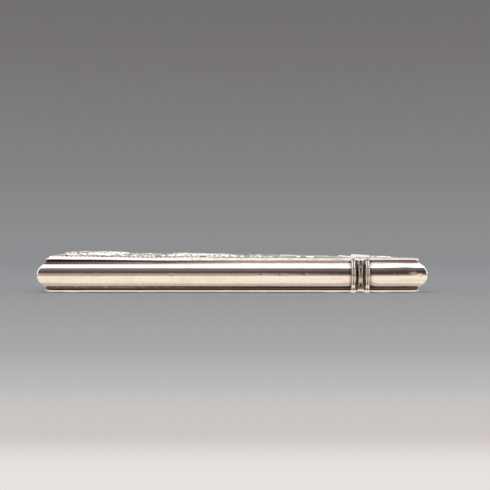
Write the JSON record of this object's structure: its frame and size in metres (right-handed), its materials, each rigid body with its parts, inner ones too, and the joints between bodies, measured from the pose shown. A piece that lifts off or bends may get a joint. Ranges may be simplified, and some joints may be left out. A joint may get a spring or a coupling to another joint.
{
  "type": "card case",
  "caption": "Flat silver card case with chased faces, rounded polished sides, reeded mouth rims and a lid that swings on a riveted hinge at one edge.",
  "frame": {"origin": "centre of the bounding box, at the lowest point of the back's ornament", "axes": "+X along the case from its foot to the lid's end, -Y towards the hinge edge, +Z out of the front"},
  "size_m": [0.1, 0.0708, 0.01],
  "materials": {
    "polished_silver": "polished",
    "chased_silver": "worn satin",
    "hinge_silver": "worn satin"
  },
  "bodies": {
    "body": {"body_front_plate": "chased_silver", "body_back_plate": "chased_silver", "body_hinge_side_band": "polished_silver", "body_catch_side_band": "polished_silver", "body_foot_band": "polished_silver", "body_rim_front": "polished_silver", "body_rim_back": "polished_silver", "body_rim_hinge_side": "polished_silver", "body_rim_catch_side": "polished_silver", "inner_bezel": "polished_silver", "snap_pip": "polished_silver", "body_hinge_box": "hinge_silver", "hinge_knuckle_front": "hinge_silver", "hinge_knuckle_back": "hinge_silver", "hinge_pin": "hinge_silver"},
    "lid": {"lid_front_plate": "chased_silver", "lid_back_plate": "chased_silver", "lid_hinge_side_band": "polished_silver", "lid_catch_side_band": "polished_silver", "lid_end_band": "polished_silver", "lid_rim_front": "polished_silver", "lid_rim_back": "polished_silver", "lid_rim_hinge_side": "polished_silver", "lid_rim_catch_side": "polished_silver", "lid_hinge_box": "hinge_silver", "hinge_knuckle_middle": "hinge_silver"}
  },
  "joints": [
    {"name": "lid_hinge", "type": "hinge", "parent": "body", "child": "lid", "pos_m": [0.03285, -0.03415, 0.00462], "axis": [0, 0, -1], "range_deg": [0, 88]}
  ]
}
